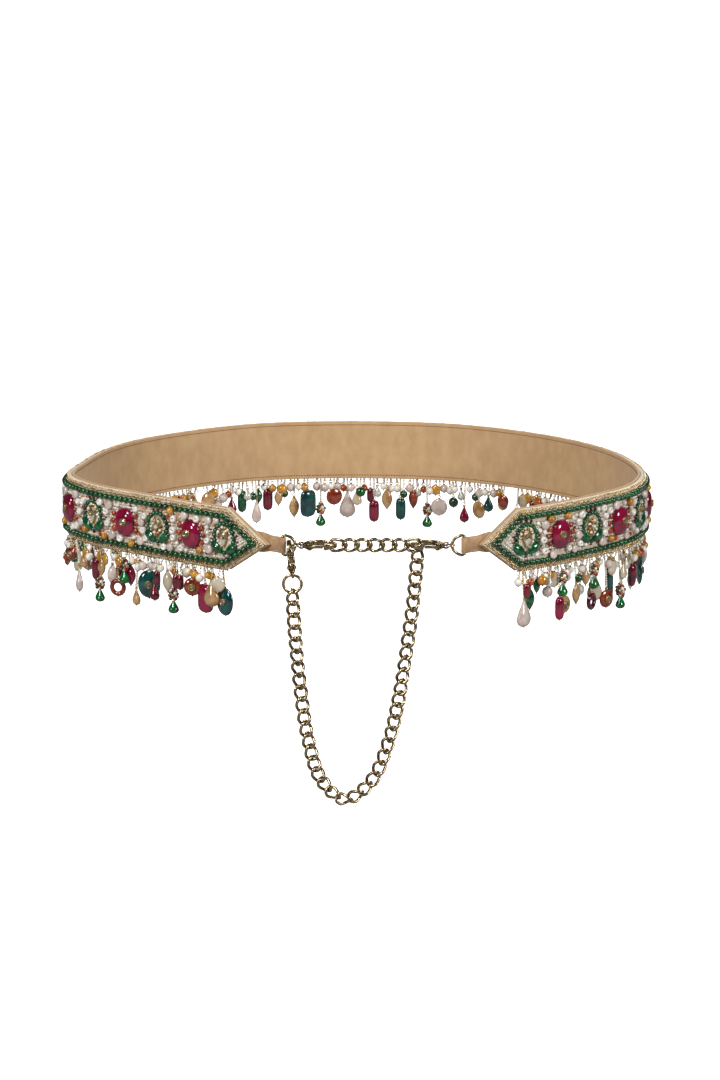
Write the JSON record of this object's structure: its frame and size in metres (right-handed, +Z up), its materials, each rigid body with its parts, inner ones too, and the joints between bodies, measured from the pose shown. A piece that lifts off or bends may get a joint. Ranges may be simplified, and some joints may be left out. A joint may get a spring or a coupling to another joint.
{
  "type": "embroidered belt",
  "caption": "Stone-set embroidered waist belt with a suede lining, a fringe of hanging drops and a curb-chain fastening with trigger clasps and a hanging loop of chain.",
  "frame": {"origin": "middle of the waist opening, at the band's half height", "axes": "+X to the right as seen from the front, +Y to the back of the waist, +Z up"},
  "size_m": [0.3265, 0.2606, 0.1611],
  "materials": {
    "suede": "matt nap",
    "cream_cloth": "padded silk with seed beads",
    "green_beads": "polished",
    "magenta_stone": "polished cabochon",
    "gilt_setting": "gilt with set stones",
    "fringe_mix": "polished drops on beaded threads",
    "old_gold": "antique gilt",
    "pale_metal": "pale plated"
  },
  "bodies": {
    "belt": {"cabochon_01": "magenta_stone", "cabochon_02": "magenta_stone", "cabochon_03": "magenta_stone", "cabochon_04": "magenta_stone", "cabochon_05": "magenta_stone", "cabochon_06": "magenta_stone", "cabochon_07": "magenta_stone", "cabochon_08": "magenta_stone", "cabochon_09": "magenta_stone", "cabochon_10": "magenta_stone", "cabochon_11": "magenta_stone", "cabochon_12": "magenta_stone", "cabochon_13": "magenta_stone", "cabochon_14": "magenta_stone", "cabochon_15": "magenta_stone", "cabochon_16": "magenta_stone", "chain_across": "old_gold", "chain_loop": "old_gold", "clasp_down": "old_gold", "clasp_left": "old_gold", "clasp_right": "old_gold", "d_ring_left": "old_gold", "d_ring_right": "old_gold", "face_panel": "cream_cloth", "flower_01": "gilt_setting", "flower_02": "gilt_setting", "flower_03": "gilt_setting", "flower_04": "gilt_setting", "flower_05": "gilt_setting", "flower_06": "gilt_setting", "flower_07": "gilt_setting", "flower_08": "gilt_setting", "flower_09": "gilt_setting", "flower_10": "gilt_setting", "flower_11": "gilt_setting", "flower_12": "gilt_setting", "flower_13": "gilt_setting", "flower_14": "gilt_setting", "flower_15": "gilt_setting", "flower_16": "gilt_setting", "flower_17": "gilt_setting", "fringe_back": "fringe_mix", "fringe_front_left": "fringe_mix", "fringe_front_right": "fringe_mix", "fringe_side_left": "fringe_mix", "fringe_side_right": "fringe_mix", "green_bead_row": "green_beads", "jump_ring": "old_gold", "leather_tab_left": "suede", "leather_tab_right": "suede", "lining": "suede", "tail_ring_left": "pale_metal", "tail_ring_right": "pale_metal"},
    "trigger_left": {"lever_left": "old_gold"},
    "trigger_right": {"lever_right": "old_gold"},
    "trigger_down": {"lever_down": "old_gold"}
  },
  "joints": [
    {"name": "lever_left_hinge", "type": "hinge", "parent": "belt", "child": "trigger_left", "pos_m": [-0.02386, -0.08981, 0], "axis": [0, 0, 1], "range_deg": [0, 20], "stiffness_Nm_per_rad": 0.001, "springref_deg": -11.46},
    {"name": "lever_right_hinge", "type": "hinge", "parent": "belt", "child": "trigger_right", "pos_m": [0.04366, -0.08981, 0], "axis": [0, 0, -1], "range_deg": [0, 20], "stiffness_Nm_per_rad": 0.001, "springref_deg": -11.46},
    {"name": "lever_down_hinge", "type": "hinge", "parent": "belt", "child": "trigger_down", "pos_m": [-0.03349, -0.09071, -0.01141], "axis": [-0.9945, 0, -0.1045], "range_deg": [0, 20], "stiffness_Nm_per_rad": 0.001, "springref_deg": -11.46}
  ]
}
